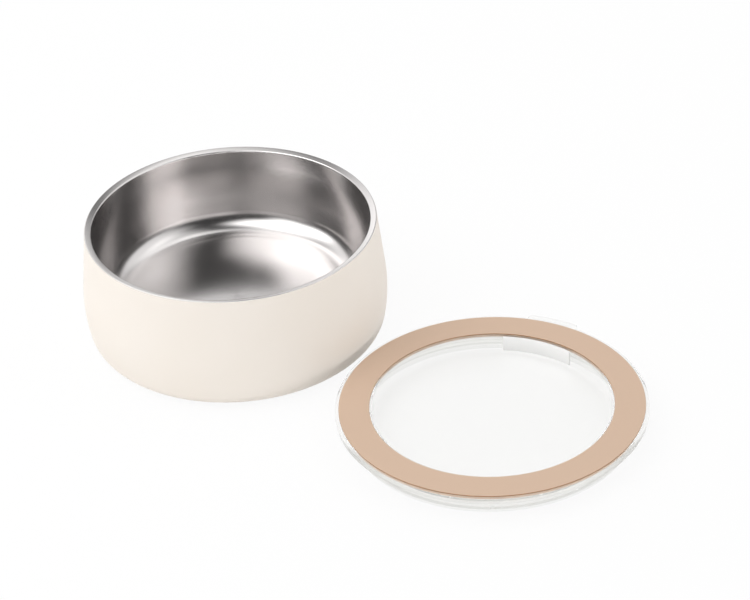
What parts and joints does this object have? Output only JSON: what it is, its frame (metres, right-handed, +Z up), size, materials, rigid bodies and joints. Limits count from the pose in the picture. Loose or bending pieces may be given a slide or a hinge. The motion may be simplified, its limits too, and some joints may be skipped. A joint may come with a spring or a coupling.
{
  "type": "pet bowl with lid",
  "caption": "Round double-wall steel pet bowl with a coated flared side and a grip base, and its clear press-in lid with a soft coloured ring and a pull tab lying beside it.",
  "frame": {"origin": "middle of the bowl's base, on the floor", "axes": "+Z up through the bowl's mouth, +X to the right of the picture, +Y away from the viewer"},
  "size_m": [0.3395, 0.3076, 0.0773],
  "materials": {
    "satin_steel": "satin stainless steel, polished fine at the rim",
    "powder_coat": "matte cream powder coat",
    "plain_steel": "mill-finish stainless sheet",
    "grip_rubber": "matte non-slip silicone",
    "clear_plastic": "clear moulded copolyester",
    "soft_ring": "satin tan soft-touch rubber",
    "clear_silicone": "translucent clear silicone"
  },
  "bodies": {
    "bowl": {"inner_bowl": "satin_steel", "outer_shell": "powder_coat", "base_plate": "plain_steel", "base_pad": "grip_rubber"},
    "lid": {"lid_body": "clear_plastic", "lid_ring": "soft_ring", "lid_gasket": "clear_silicone"}
  },
  "joints": [
    {"name": "lid_lift", "type": "slide", "parent": "bowl", "child": "lid", "axis": [0, 0, 1], "range_m": [0, 0.12]}
  ]
}
